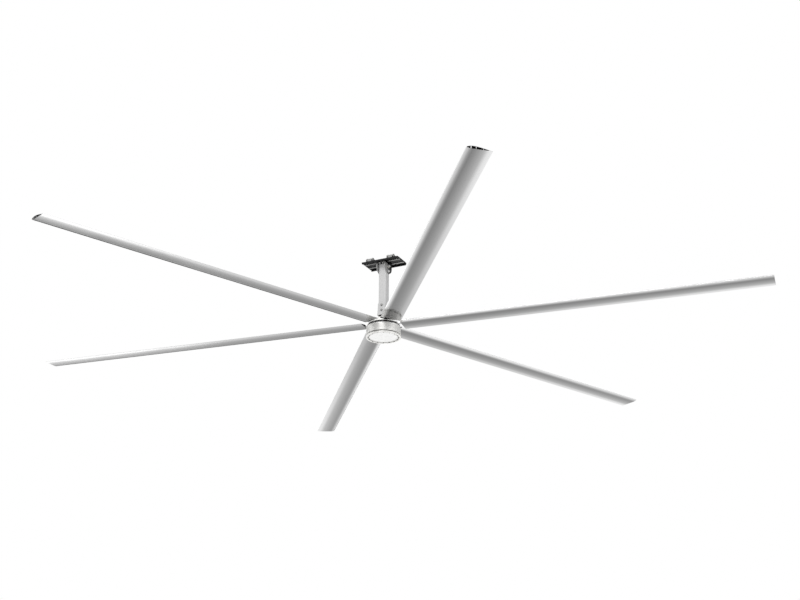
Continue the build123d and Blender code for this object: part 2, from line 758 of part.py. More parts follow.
# Rotor shell
def rotor_drum():
    """Drum of the outer rotor with a ledge at its foot."""
    drum = disc(drum_radius, drum_bottom, drum_top)
    drum = chamfer(drum.edges().group_by(Axis.Z)[-1], drum_rim_chamfer)
    drum = chamfer(drum.edges().group_by(Axis.Z)[0], drum_rim_chamfer)
    drum -= disc(drum_inner_radius, drum_bottom + drum_ledge_height, drum_top + overrun)
    drum -= disc(drum_ledge_radius, drum_bottom - overrun, drum_top)
    tap = disc(m6_radius + fit_gap, -top_screw_grip, overrun)
    taps = spread(tap, top_screw_circle, top_screw_count, drum_top, top_screw_start())
    foot_tap = disc(m6_radius + fit_gap, -overrun, drum_ledge_height + overrun)
    foot_taps = spread(foot_tap, end_screw_circle, end_screw_count, drum_bottom, end_screw_first_angle)
    return cut(drum, taps + foot_taps)


def top_screw_start():
    """Angle of the first drum screw, half a screw pitch past the first blade."""
    return first_blade_angle + 180 / top_screw_count


def rotor_magnets():
    """Curved magnets on the drum's inner wall."""
    pitch = 360 / magnet_count
    arc = pitch * magnet_arc_share
    outer = drum_inner_radius - fit_gap
    outer_arc = CenterArc((0, 0), outer, 0, arc)
    inner_arc = CenterArc((0, 0), magnet_inner_radius, 0, arc)
    sides = [Line(outer_arc @ 0, inner_arc @ 0), Line(outer_arc @ 1, inner_arc @ 1)]
    magnet = extrude(make_face([outer_arc, inner_arc] + sides), magnet_height)
    bottom = (core_top + core_bottom - magnet_height) / 2
    return around(Pos(0, 0, bottom) * magnet, magnet_count)


def arm_bolt_places():
    """Places of the arm bolts, as x and y in the frame of the first blade's arm."""
    return [(reach, arm_middle()) for reach in arm_bolt_reaches]


def top_end_cover():
    """Cover on the drum that carries the arms and the bearing housing."""
    cover = disc(top_cover_radius, drum_top, cover_top)
    pad_radius = drum_inner_radius - fit_gap
    cover += ring(pad_radius, top_cover_pad_inner, drum_top - top_cover_pad_height, drum_top)
    cover -= disc(housing_radius + fit_gap, drum_top - overrun, cover_top + overrun)
    edge_drill = disc(m6_radius + fit_gap, drum_top - overrun, cover_top + overrun)
    edge_holes = spread(edge_drill, top_screw_circle, top_screw_count, 0, top_screw_start())
    housing_tap = disc(m8_radius + fit_gap, drum_top - overrun, cover_top + overrun)
    housing_taps = spread(housing_tap, housing_screw_circle, housing_screw_count, 0, first_blade_angle)
    arm_tap = disc(m12_radius + fit_gap, cover_top - arm_bolt_grip, cover_top + overrun)
    arm_taps = []
    for x, y in arm_bolt_places():
        arm_taps.extend(around(Pos(x, y, 0) * arm_tap, blade_count, first_blade_angle))
    return cut(cover, edge_holes + housing_taps + arm_taps)


def top_cover_screws():
    """Screws that hold the top cover on the drum."""
    length = top_cover_thickness + top_screw_grip - seat_gap
    screw = socket_screw(m6_radius, m6_head_radius, m6_head, length)
    return spread(screw, top_screw_circle, top_screw_count, cover_top, top_screw_start())


def bearing_housing():
    """Flanged housing of the upper bearing, which stands on the top cover."""
    housing = disc(housing_radius, drum_top - housing_spigot_depth, housing_top)
    housing += disc(housing_flange_radius, cover_top, cover_top + housing_flange_thickness)
    housing -= disc(housing_bore, drum_top - housing_spigot_depth - overrun, housing_top + overrun)
    seat_bottom = blade_level + upper_bearing_rise
    housing -= disc(upper_bearing_radius, seat_bottom, housing_top + overrun)
    drill = disc(m8_radius + fit_gap, cover_top - overrun, cover_top + housing_flange_thickness + overrun)
    holes = spread(drill, housing_screw_circle, housing_screw_count, 0, first_blade_angle)
    tap = disc(m6_radius + fit_gap, housing_top - seal_screw_grip, housing_top + overrun)
    taps = spread(tap, seal_screw_circle, seal_screw_count, 0, first_blade_angle)
    return cut(housing, holes + taps)


def housing_screws():
    """Screws of the housing's flange and of its seal cap."""
    flange_top = cover_top + housing_flange_thickness
    length = housing_flange_thickness + top_cover_thickness - seat_gap
    foot_screw = socket_screw(m8_radius, m8_head_radius, m8_head, length)
    screws = spread(foot_screw, housing_screw_circle, housing_screw_count, flange_top, first_blade_angle)
    cap_length = seal_cap_thickness - m6_head + seal_screw_grip - seat_gap
    cap_screw = socket_screw(m6_radius, m6_head_radius, m6_head, cap_length)
    cap_level = housing_top + seal_cap_thickness - m6_head
    return screws + spread(cap_screw, seal_screw_circle, seal_screw_count, cap_level, first_blade_angle)


def seal_cap():
    """Ring that closes the upper bearing round the shaft."""
    top = housing_top + seal_cap_thickness
    cap = ring(housing_radius, seal_cap_bore, housing_top, top)
    cap = chamfer(cap.edges().group_by(Axis.Z)[-1].sort_by(SortBy.LENGTH)[-1], seal_cap_chamfer)
    counterbore = disc(m6_head_radius + seat_gap, top - m6_head, top + overrun)
    drill = disc(m6_radius + fit_gap, housing_top - overrun, top + overrun)
    return cut(cap, spread(counterbore + drill, seal_screw_circle, seal_screw_count, 0, first_blade_angle))


# Bottom of the drum
def bottom_end_cover():
    """Cover under the drum with the boss of the lower bearing."""
    cover = disc(bottom_cover_radius, bottom_cover_bottom, drum_bottom)
    cover += disc(bottom_boss_radius, bottom_cover_bottom, shaft_step)
    cover -= disc(bottom_cover_hole, bottom_cover_bottom - overrun, shaft_step)
    cover -= disc(lower_bearing_radius, shaft_step - lower_bearing_height, shaft_step + overrun)
    drill = disc(m6_radius + fit_gap, bottom_cover_bottom - overrun, drum_bottom + overrun)
    return cut(cover, spread(drill, end_screw_circle, end_screw_count, 0, end_screw_first_angle))


def end_ring():
    """Ring below the drum with a shallow ribbed recess for its screws."""
    ring_top = bottom_cover_bottom
    shell = ring(end_ring_radius, end_ring_inner_radius, end_ring_bottom, ring_top)
    outer_edges = shell.edges().filter_by(GeomType.CIRCLE).sort_by(SortBy.RADIUS)[-2:]
    shell = chamfer(outer_edges, end_ring_chamfer)
    flange_bottom = end_ring_bottom + end_ring_recess
    shell += ring(end_ring_inner_radius + overrun, end_ring_flange_inner, flange_bottom, ring_top)
    rib_length = end_ring_inner_radius - end_ring_flange_inner + overrun
    rib_middle = (end_ring_inner_radius + end_ring_flange_inner + overrun) / 2
    rib_bottom = end_ring_bottom + end_ring_rib_setback
    rib_height = flange_bottom - rib_bottom + overrun
    rib = Pos(rib_middle, 0, rib_bottom) * Box(rib_length, end_ring_rib_width, rib_height, align=BASE)
    first_rib = end_screw_first_angle + 180 / end_ring_rib_count
    for piece in around(rib, end_ring_rib_count, first_rib):
        shell += piece
    drill = disc(m6_radius + fit_gap, end_ring_bottom - overrun, ring_top + overrun)
    return cut(shell, spread(drill, end_screw_circle, end_screw_count, 0, end_screw_first_angle))


def end_ring_screws():
    """Screws from below through ring and cover into the drum's ledge."""
    length = end_screw_grip
    screw = Rot(180, 0, 0) * socket_screw(m6_radius, m6_head_radius, m6_head, length)
    level = end_ring_bottom + end_ring_recess
    return spread(screw, end_screw_circle, end_screw_count, level, end_screw_first_angle)


def bottom_cover_disc():
    """Shallow cap in the middle of the end ring, a flat face on a sloping skirt."""
    return cover_shell(0) - cover_shell(cover_disc_wall)


def cover_shell(wall):
    """Solid form of the cap, smaller by a wall below and all round."""
    top = bottom_cover_bottom
    if wall > 0:
        top += overrun
    skirt = bottom_cover_bottom - cover_disc_edge_height
    face = bottom_cover_bottom - cover_disc_height
    radius = cover_disc_radius - wall
    edge = disc(radius, skirt + wall, top)
    slope = Cone(cover_disc_flat_radius - wall, radius, skirt - face, align=BASE)
    return edge + Pos(0, 0, face + wall) * slope


# Blades: the profile lies in a plane across the blade, leading edge toward -Y, before pitching
def upper_height(share):
    """Height of the upper skin above the chord line."""
    crest_power = math.log(0.5) / math.log(crest_share)
    bulge = math.sin(math.pi * share ** crest_power)
    return blade_top_height * bulge + share * blade_tail_thickness / 2


def lower_depth(share):
    """Depth of the lower skin below the chord line."""
    tail = share * blade_tail_thickness / 2
    if share < crease_share:
        return blade_belly_depth * (share / crease_share) ** nose_power + tail
    return blade_belly_depth * ((1 - share) / (1 - crease_share)) ** belly_power + tail


def section_point(share, height):
    """Point of the profile, given as y and z in the blade's own frame."""
    return (share * blade_chord - blade_lead, blade_chord_rise + height)


def blade_outline():
    """Closed outline of the profile, with a crease under the nose."""
    upper = []
    nose = []
    belly = []
    for index in range(outline_points):
        step = index / (outline_points - 1)
        upper_share = step * step
        upper.append(section_point(upper_share, upper_height(upper_share)))
        nose_share = crease_share * step * step
        nose.append(section_point(nose_share, -lower_depth(nose_share)))
        belly_share = crease_share + (1 - crease_share) * step
        belly.append(section_point(belly_share, -lower_depth(belly_share)))
    tail = Line(upper[-1], belly[-1])
    return make_face([Spline(upper), Spline(nose), Spline(belly), tail])


def cell_outline(number, gap=0):
    """Four-sided inside of one cell, smaller all round by the gap."""
    start, end = cell_shares[number]
    wall = blade_wall + gap
    front = start + gap / blade_chord
    back = end - gap / blade_chord
    points = [
        section_point(front, upper_height(front) - wall),
        section_point(back, upper_height(back) - wall),
        section_point(back, wall - lower_depth(back)),
        section_point(front, wall - lower_depth(front)),
    ]
    return points


def cell_face(number, gap=0):
    """Face of one cell."""
    return make_face(Polyline(*cell_outline(number, gap), close=True))


def arm_middle():
    """Distance of the arm's middle line from the radius, in the blade's own frame."""
    start, end = cell_shares[arm_cell]
    return (start + end) / 2 * blade_chord - blade_lead


def blade():
    """Hollow blade on the X axis, pitched so that its leading edge is high."""
    face = blade_outline()
    for number in range(len(cell_shares)):
        face -= cell_face(number)
    length = tip_radius - blade_root_radius
    straight = Pos(blade_root_radius, 0, 0) * extrude(Plane.YZ * face, length, dir=OUTWARD)
    drill = Cylinder(m8_radius + fit_gap, blade_top_height, align=BASE)
    seat = blade_bolt_level()
    holes = [Pos(radius, arm_middle(), seat - blade_top_height / 2) * drill for radius in blade_bolt_radii]
    spot = Cylinder(m8_head_radius + seat_gap, blade_top_height, align=BASE)
    spots = [Pos(radius, arm_middle(), seat) * spot for radius in blade_bolt_radii]
    return Pos(0, 0, blade_level) * Rot(-blade_pitch, 0, 0) * cut(straight, holes + spots)


def blade_bolt_level():
    """Level of the bolt seats in the upper skin, above the blade's own axis."""
    start, end = cell_shares[arm_cell]
    back = (start + end) / 2 + m8_head_radius / blade_chord
    return blade_chord_rise + upper_height(back) - blade_wall / 2


def blade_bolts():
    """Screws through the upper skin of each blade into its arm."""
    skin = blade_bolt_level()
    screw = socket_screw(m8_radius, m8_head_radius, m8_head, blade_bolt_grip)
    row = [Pos(radius, arm_middle(), skin) * screw for radius in blade_bolt_radii]
    pieces = []
    for piece in row:
        pitched = Pos(0, 0, blade_level) * Rot(-blade_pitch, 0, 0) * piece
        pieces.extend(around(pitched, blade_count, first_blade_angle))
    return pieces


def blade_arm():
    """Arm on the X axis: flat root on the hub, a twist, then a bar that fills a cell of the blade."""
    start, end = cell_shares[arm_cell]
    width = (end - start) * blade_chord - 2 * seat_gap
    root_middle = (cover_top + arm_root_top) / 2
    root_length = arm_twist_start - arm_inner_reach
    root = Pos((arm_twist_start + arm_inner_reach) / 2, arm_middle(), root_middle)
    root = root * Box(root_length, width, arm_root_thickness)
    front = arm_middle() - width / 2
    back = arm_middle() + width / 2
    corners = [(front, arm_root_top), (back, arm_root_top), (back, cover_top), (front, cover_top)]
    root_face = Pos(arm_twist_start, 0, 0) * (Plane.YZ * make_face(Polyline(*corners, close=True)))
    pitch_frame = Pos(0, 0, blade_level) * Rot(-blade_pitch, 0, 0)
    bar_face = Plane.YZ * cell_face(arm_cell, seat_gap)
    twist_face = pitch_frame * Pos(arm_twist_end, 0, 0) * bar_face
    twist = loft([root_face, twist_face], ruled=True)
    bar = extrude(Pos(arm_twist_end, 0, 0) * bar_face, arm_outer_reach - arm_twist_end, dir=OUTWARD)
    tap_depth = blade_bolt_grip + seat_gap
    tap = Cylinder(m8_radius + fit_gap, 2 * tap_depth)
    taps = [Pos(radius, arm_middle(), blade_bolt_level()) * tap for radius in blade_bolt_radii]
    bar = pitch_frame * cut(bar, taps)
    drill = disc(m12_radius + fit_gap, cover_top - overrun, arm_root_top + overrun)
    holes = [Pos(x, y, 0) * drill for x, y in arm_bolt_places()]
    return cut(root, holes) + twist + bar


def hub_clamp_plate():
    """Ring that clamps the arm roots on the top cover."""
    plate = ring(clamp_plate_radius, clamp_plate_bore, arm_root_top, clamp_plate_top)
    plate = chamfer(plate.edges().group_by(Axis.Z)[-1], clamp_plate_chamfer)
    drill = disc(m12_radius + fit_gap, arm_root_top - overrun, clamp_plate_top + overrun)
    holes = []
    for x, y in arm_bolt_places():
        holes.extend(around(Pos(x, y, 0) * drill, blade_count, first_blade_angle))
    return cut(plate, holes)


def arm_bolts():
    """Bolts through clamp plate and arm into the top cover."""
    length = clamp_plate_thickness + arm_root_thickness + arm_bolt_grip - seat_gap
    bolt = hex_bolt(m12_radius, m12_flats, m12_head, length)
    pieces = []
    for x, y in arm_bolt_places():
        pieces.extend(around(Pos(x, y, clamp_plate_top) * bolt, blade_count, first_blade_angle))
    return pieces


# Ceiling mount
write("mounting_plate", [mounting_plate()])
write_clamps()
write("upper_yoke", [upper_yoke()])
write("yoke_screws", yoke_screws())
write("yoke_nuts", yoke_nuts())
pivot_bolt, pivot_nut = cross_bolt(
    m16_radius, m16_flats, m16_head, m16_washer_radius, m16_washer, m16_nut, pivot_drop
)
write("pivot_bolt", [pivot_bolt])
write("pivot_nut", pivot_nut)

# Hanger: everything that swings but doesn't turn
write("downrod", [downrod()])
write("rod_bushes", rod_bushes())
write("friction_washers", friction_washers())
lock_bolt, lock_nut = cross_bolt(
    m12_radius, m12_flats, m12_head, m12_washer_radius, m12_washer, m12_nut, lock_drop
)
write("lock_bolt", [lock_bolt])
write("lock_nut", lock_nut)
write("lock_spacer", [lock_spacer()])
write("cable_gland", cable_gland())
write("lower_yoke", [lower_yoke()])
cheek_bolts, cheek_nuts = lower_yoke_bolts()
write("lower_yoke_bolts", cheek_bolts)
write("lower_yoke_nuts", cheek_nuts)
write("motor_shaft", [motor_shaft()])
write("shaft_flange_bolts", shaft_flange_bolts())
write("shaft_locknut", [shaft_locknut()])
write("stator_carrier", [stator_carrier()])
write("stator_core", [stator_core()])
write("stator_windings", stator_windings())
write("bearing_inner_races", bearing_inner_races())

# Rotor
write("bearing_outer_races", bearing_outer_races())
write("bearing_balls", bearing_balls())
write("rotor_drum", [rotor_drum()])
write("rotor_magnets", rotor_magnets())
write("top_end_cover", [top_end_cover()])
write("top_cover_screws", top_cover_screws())
write("bearing_housing", [bearing_housing()])
write("housing_screws", housing_screws())
write("seal_cap", [seal_cap()])
write("bottom_end_cover", [bottom_end_cover()])
write("end_ring", [end_ring()])
write("end_ring_screws", end_ring_screws())
write("bottom_cover_disc", [bottom_cover_disc()])
write("hub_clamp_plate", [hub_clamp_plate()])
write("arm_bolts", arm_bolts())
write("blade_bolts", blade_bolts())
for number, arm in enumerate(around(blade_arm(), blade_count, first_blade_angle), 1):
    write("blade_arm_" + str(number), [arm])
for number, piece in enumerate(around(blade(), blade_count, first_blade_angle), 1):
    write("blade_" + str(number), [piece])
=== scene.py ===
"""Dresses the high volume low speed fan: its blades, hub, hanger and ceiling mount, in metres."""

from __future__ import annotations

import json
import logging
import math
from collections.abc import Iterable, Sequence
from dataclasses import dataclass
from enum import Enum

import bmesh
import bpy
from mathutils import Matrix, Vector


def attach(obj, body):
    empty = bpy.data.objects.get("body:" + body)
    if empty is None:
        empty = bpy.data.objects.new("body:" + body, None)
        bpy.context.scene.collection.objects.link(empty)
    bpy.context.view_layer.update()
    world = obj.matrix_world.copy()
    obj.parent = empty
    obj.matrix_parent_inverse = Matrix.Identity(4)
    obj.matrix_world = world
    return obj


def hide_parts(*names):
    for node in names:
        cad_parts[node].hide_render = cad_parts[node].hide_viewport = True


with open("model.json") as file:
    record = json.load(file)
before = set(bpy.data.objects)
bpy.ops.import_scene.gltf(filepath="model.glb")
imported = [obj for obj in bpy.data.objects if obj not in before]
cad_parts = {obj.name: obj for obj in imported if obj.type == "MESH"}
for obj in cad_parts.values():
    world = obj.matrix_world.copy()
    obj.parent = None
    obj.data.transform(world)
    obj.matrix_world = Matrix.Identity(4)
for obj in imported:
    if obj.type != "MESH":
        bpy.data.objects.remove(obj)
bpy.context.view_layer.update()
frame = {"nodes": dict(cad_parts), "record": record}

LOG = logging.getLogger("fan")
MM = 0.001
WHITE = (1.0, 1.0, 1.0)
ACROSS = (1.0, 1.0, 0.0)
BEVEL_SAMPLES = 4
MIX_FACTOR, MIX_FIRST, MIX_SECOND, MIX_RESULT = 0, 6, 7, 2

Colour = tuple[float, float, float]
Place = tuple[float, float, float]
Point = tuple[float, float]
Span = tuple[float, float]
Stops = tuple[tuple[float, float], ...]
Socket = bpy.types.NodeSocket


class Grain(Enum):
    """Direction of the fine marks in a metal surface."""

    TURNED = "rings round the rotor's axis"
    CAST = "no direction"


@dataclass(frozen=True)
class Noise:
    """Sizes of one noise: cells in a metre, number of finer layers and strength of each."""

    scale: float
    detail: float = 3.0
    roughness: float = 0.5


def scaled(colour: Colour, factor: float) -> Colour:
    """Gives a lighter or darker version of a colour."""
    return (colour[0] * factor, colour[1] * factor, colour[2] * factor)


def shades(colour: Colour, depth: float) -> tuple[Colour, Colour]:
    """Gives the darker and the lighter version of a colour."""
    return scaled(colour, 1 - depth), scaled(colour, 1 + depth)


def opaque(value: Socket | Colour | float) -> Socket | tuple[float, ...] | float:
    """Adds full alpha to a colour and leaves a number or a socket as it is."""
    return (*value, 1.0) if isinstance(value, tuple) else value


def show(thing: bpy.types.Object) -> None:
    """Adds an object to the scene."""
    bpy.context.scene.collection.objects.link(thing)


def smooth(mesh: bpy.types.Mesh, degrees: float) -> None:
    """Shades a new mesh smooth except at edges sharper than an angle."""
    mesh.shade_smooth()
    mesh.set_sharp_from_angle(angle=math.radians(degrees))


class Shader:
    """Node tree of one material, built by short calls."""

    def __init__(self, name: str) -> None:
        """Starts a material with a surface shader and nothing else.

        Args:
            name: Name of the material.
        """
        self.material = bpy.data.materials.new(name)
        self.material.use_nodes = True
        self.tree = self.material.node_tree
        self.tree.nodes.clear()
        self.surface = self.add("ShaderNodeBsdfPrincipled")
        self.output = self.add("ShaderNodeOutputMaterial", {"Surface": self.surface.outputs["BSDF"]})

    def fix(self, **values: float | Colour) -> None:
        """Sets constant values on the surface shader's own sockets.

        Args:
            values: Socket names with underscores for spaces, and their values.
        """
        for key, value in values.items():
            socket = self.surface.inputs[key.replace("_", " ").title().replace("Ior", "IOR")]
            socket.default_value = opaque(value)

    def feed(self, name: str, source: Socket) -> None:
        """Links a node's output to the surface shader."""
        self.tree.links.new(source, self.surface.inputs[name])

    def add(
        self, kind: str, inputs: dict[str | int, object] | None = None, **settings: object
    ) -> bpy.types.Node:
        """Adds a node.

        Args:
            kind: Blender's name of the node type.
            inputs: Values or sockets for the node's inputs, by name or number.
            settings: Properties of the node.

        Returns:
            The new node.
        """
        node = self.tree.nodes.new(kind)
        for key, value in settings.items():
            setattr(node, key, value)
        for key, value in (inputs or {}).items():
            if isinstance(value, bpy.types.NodeSocket):
                self.tree.links.new(value, node.inputs[key])
            else:
                node.inputs[key].default_value = value
        return node

    def maths(self, operation: str, first: Socket | float, second: Socket | float = 0.0) -> Socket:
        """Joins two numbers by one operation."""
        return self.add("ShaderNodeMath", {0: first, 1: second}, operation=operation).outputs[0]

    def between(self, value: Socket, span: Span) -> Socket:
        """Gives 1 where a value lies in a span, and 0 elsewhere."""
        above = self.maths("GREATER_THAN", value, span[0])
        return self.maths("MULTIPLY", above, self.maths("LESS_THAN", value, span[1]))

    def weighed(self, first: Socket, second: Socket, share: float) -> Socket:
        """Adds two values by weight: the second by its share and the first by the rest."""
        rest = self.maths("MULTIPLY", first, 1 - share)
        return self.maths("ADD", rest, self.maths("MULTIPLY", second, share))

    def place(self) -> Socket:
        """Gives the point's place in the fan's own frame."""
        return self.add("ShaderNodeTexCoord").outputs["Object"]

    def axes(self, place: Socket) -> Sequence[Socket]:
        """Splits a place into its three numbers."""
        return self.add("ShaderNodeSeparateXYZ", {0: place}).outputs

    def radius(self, place: Socket) -> Socket:
        """Gives the distance of a place from the rotor's axis."""
        flat = self.add("ShaderNodeVectorMath", {0: place, 1: ACROSS}, operation="MULTIPLY").outputs[0]
        return self.add("ShaderNodeVectorMath", {0: flat}, operation="LENGTH").outputs["Value"]

    def stretched(self, source: Socket, scale: Place) -> Socket:
        """Scales a place along each axis."""
        return self.add("ShaderNodeMapping", {"Vector": source, "Scale": scale}).outputs[0]

    def noise(self, place: Socket, noise: Noise) -> Socket:
        """Makes a noise value, about 0 to 1.

        Args:
            place: Where the noise is read.
            noise: Its sizes.

        Returns:
            The noise value's socket.
        """
        sizes = {"Scale": noise.scale, "Detail": noise.detail, "Roughness": noise.roughness}
        return self.add("ShaderNodeTexNoise", {"Vector": place, **sizes}).outputs["Fac"]

    def spread(self, source: Socket, result: Span = (0.0, 1.0), value: Span = (0.35, 0.65)) -> Socket:
        """Spreads a value over a range.

        Args:
            source: Value to spread.
            result: Results at the start and the end.
            value: Values that give these results, by default the range of most noises.

        Returns:
            The spread value's socket.
        """
        start = {"Value": source, "From Min": value[0], "To Min": result[0]}
        end = {"From Max": value[1], "To Max": result[1]}
        return self.add("ShaderNodeMapRange", {**start, **end}).outputs["Result"]

    def tint(
        self,
        factor: Socket | float,
        first: Socket | Colour,
        second: Socket | Colour,
        blend: str = "MIX",
    ) -> Socket:
        """Mixes two colours.

        Args:
            factor: Share of the second colour.
            first: Colour at 0.
            second: Colour at 1.
            blend: Blender's name of the way to mix.

        Returns:
            The mixed colour's socket.
        """
        inputs = {MIX_FACTOR: factor, MIX_FIRST: opaque(first), MIX_SECOND: opaque(second)}
        node = self.add("ShaderNodeMix", inputs, data_type="RGBA", blend_type=blend)
        return node.outputs[MIX_RESULT]

    def product(self, first: Socket, second: Socket) -> Socket:
        """Multiplies two colours."""
        return self.tint(1.0, first, second, "MULTIPLY")

    def ramp(self, source: Socket, stops: Stops) -> Socket:
        """Turns a value into a grey by stops.

        Args:
            source: Value from 0 to 1.
            stops: Places and grey levels.

        Returns:
            The grey colour's socket.
        """
        node = self.add("ShaderNodeValToRGB", {"Fac": source})
        elements = node.color_ramp.elements
        while len(elements) > 1:
            elements.remove(elements[-1])
        elements[0].position, level = stops[0]
        elements[0].color = opaque((level, level, level))
        for place, level in stops[1:]:
            elements.new(place).color = opaque((level, level, level))
        return node.outputs["Color"]

    def roughen(self, source: Socket, level: float, drift: Span) -> None:
        """Lets the roughness drift below and above its level with a noise."""
        self.feed("Roughness", self.spread(source, (level - drift[0], level + drift[1])))

    def bump(self, height: Socket, distance: float, edge: float = 0.0) -> None:
        """Raises the surface by a height value and rounds its edges.

        Args:
            height: Height from 0 to 1.
            distance: Height of 1, in metres.
            edge: Radius of the rounded edges, in metres.
        """
        inputs: dict[str | int, object] = {"Height": height, "Distance": distance, "Strength": 1.0}
        if edge > 0:
            bevel = self.add("ShaderNodeBevel", {"Radius": edge}, samples=BEVEL_SAMPLES)
            inputs["Normal"] = bevel.outputs["Normal"]
        self.feed("Normal", self.add("ShaderNodeBump", inputs).outputs["Normal"])


@dataclass(frozen=True)
class PowderCoat:
    """Baked powder paint with orange peel, fine specks and dull handling marks."""

    name: str
    colour: Colour
    roughness: float
    peel: Noise = Noise(420.0, 2.0)
    peel_height: float = 0.035 * MM
    speck: Noise = Noise(2600.0, 1.0)
    speck_depth: float = 0.08
    marks: Noise = Noise(14.0, 5.0, 0.6)
    drift: Span = (0.05, 0.08)
    gloss: float = 0.5
    edge: float = 0.8 * MM

    def build(self) -> bpy.types.Material:
        """Makes the material.

        Returns:
            The material.
        """
        shader = Shader(self.name)
        place = shader.place()
        speck = shader.spread(shader.noise(place, self.speck))
        shader.feed("Base Color", shader.tint(speck, *shades(self.colour, self.speck_depth)))
        shader.roughen(shader.noise(place, self.marks), self.roughness, self.drift)
        shader.bump(shader.noise(place, self.peel), self.peel_height, self.edge)
        shader.fix(specular_ior_level=self.gloss)
        return shader.material


@dataclass(frozen=True)
class RibbedCoat:
    """Black paint over steel, with galvanised metal left bare on the ribs."""

    name: str
    colour: Colour
    bare: Colour
    roughness: float = 0.38
    gloss: float = 0.2
    bare_metal: float = 0.9
    rib_levels: Span = (-15.4 * MM, -8.6 * MM)
    rib_reach: Span = (34.0 * MM, 52.0 * MM)
    wear: Noise = Noise(160.0, 4.0)
    wear_range: Span = (0.8, 1.0)
    marks: Noise = Noise(14.0, 5.0, 0.6)
    drift: Span = (0.05, 0.1)
    peel: Noise = Noise(420.0, 2.0)
    peel_height: float = 0.03 * MM
    edge: float = 0.8 * MM

    def build(self) -> bpy.types.Material:
        """Makes the material.

        Returns:
            The material.
        """
        shader = Shader(self.name)
        place = shader.place()
        _, across, height = shader.axes(place)
        level = shader.between(height, self.rib_levels)
        row = shader.between(shader.maths("ABSOLUTE", across), self.rib_reach)
        wear = shader.spread(shader.noise(place, self.wear), self.wear_range)
        mask = shader.maths("MULTIPLY", shader.maths("MULTIPLY", level, row), wear)
        shader.feed("Base Color", shader.tint(mask, self.colour, self.bare))
        shader.feed("Metallic", shader.maths("MULTIPLY", mask, self.bare_metal))
        shader.roughen(shader.noise(place, self.marks), self.roughness, self.drift)
        shader.bump(shader.noise(place, self.peel), self.peel_height, self.edge)
        shader.fix(specular_ior_level=self.gloss)
        return shader.material


@dataclass(frozen=True)
class ZincWithPaintedShade:
    """Galvanised sheet with spangle, with painted shade towards the far side and a painted shadow
    towards the top, under the mounting plate.
    """

    name: str
    bright: Colour
    painted_shade: Colour
    roughness: float
    far_shade_span: Span = (-30 * MM, 34 * MM)
    top_shadow_span: Span = (-34 * MM, -15 * MM)
    wander: Noise = Noise(30.0, 4.0)
    wander_middle: float = 0.5
    wander_reach: float = 40 * MM
    spangle_scale: float = 95.0
    spangle_depth: float = 0.18
    grit: Noise = Noise(700.0)
    grit_height: float = 0.015 * MM
    drift: Span = (0.05, 0.08)
    metal_share: float = 0.5
    edge: float = 0.6 * MM

    def build(self) -> bpy.types.Material:
        """Makes the material.

        Returns:
            The material.
        """
        shader = Shader(self.name)
        place = shader.place()
        _, across, height = shader.axes(place)
        # Painted shade: the far side is darkened along a wavy line, and the top is darkened as a
        # painted shadow under the plate.
        swing = shader.maths("SUBTRACT", shader.noise(place, self.wander), self.wander_middle)
        line = shader.maths("ADD", across, shader.maths("MULTIPLY", swing, self.wander_reach))
        far = shader.spread(line, value=self.far_shade_span)
        high = shader.spread(height, value=self.top_shadow_span)
        spangle = shader.add("ShaderNodeTexVoronoi", {"Vector": place, "Scale": self.spangle_scale})
        tone = shader.spread(spangle.outputs["Color"], value=(0.0, 1.0))
        bright = shader.tint(tone, *shades(self.bright, self.spangle_depth))
        painted_shade_share = shader.maths("MAXIMUM", far, high)
        shader.feed("Base Color", shader.tint(painted_shade_share, bright, self.painted_shade))
        grit = shader.noise(place, self.grit)
        shader.roughen(grit, self.roughness, self.drift)
        shader.bump(grit, self.grit_height, self.edge)
        shader.fix(metallic=self.metal_share)
        return shader.material


@dataclass(frozen=True)
class WorkedMetal:
    """Bare metal with the marks of its making: turned rings or a cast skin."""

    name: str
    colour: Colour
    roughness: float
    grain: Grain
    lines: Noise = Noise(900.0, 4.0, 0.7)
    line_height: float = 0.012 * MM
    line_stretch: float = 0.004
    cloud: Noise = Noise(9.0, 4.0, 0.6)
    cloud_share: float = 0.4
    tone_depth: float = 0.06
    drift: Span = (0.04, 0.06)
    anisotropy: float = 0.5
    metal_share: float = 1.0
    edge: float = 0.5 * MM

    def grain_place(self, shader: Shader) -> Socket:
        """Gives a place in which the marks run along the first axis.

        Args:
            shader: Node tree to add to.

        Returns:
            Socket of the place.
        """
        place = shader.place()
        if self.grain is Grain.CAST:
            return place
        along, across, height = shader.axes(place)
        angle = shader.maths("MULTIPLY", shader.maths("ARCTAN2", across, along), self.line_stretch)
        rings = {0: angle, 1: shader.radius(place), 2: height}
        return shader.add("ShaderNodeCombineXYZ", rings).outputs[0]

    def toned(self, shader: Shader, tone: Socket) -> Socket:
        """Leaves the tone as it is; a subclass may paint shade on part of the surface."""
        return tone

    def build(self) -> bpy.types.Material:
        """Makes the material.

        Returns:
            The material.
        """
        shader = Shader(self.name)
        lines = shader.noise(self.grain_place(shader), self.lines)
        cloud = shader.noise(shader.place(), self.cloud)
        tone = shader.spread(shader.weighed(lines, cloud, self.cloud_share))
        tinted = shader.tint(tone, *shades(self.colour, self.tone_depth))
        shader.feed("Base Color", self.toned(shader, tinted))
        shader.roughen(cloud, self.roughness, self.drift)
        shader.bump(lines, self.line_height, self.edge)
        shader.fix(metallic=self.metal_share)
        if self.grain is Grain.TURNED:
            shader.fix(anisotropic=self.anisotropy)
            tangent = shader.add("ShaderNodeTangent", direction_type="RADIAL", axis="Z")
            shader.feed("Tangent", tangent.outputs[0])
        return shader.material


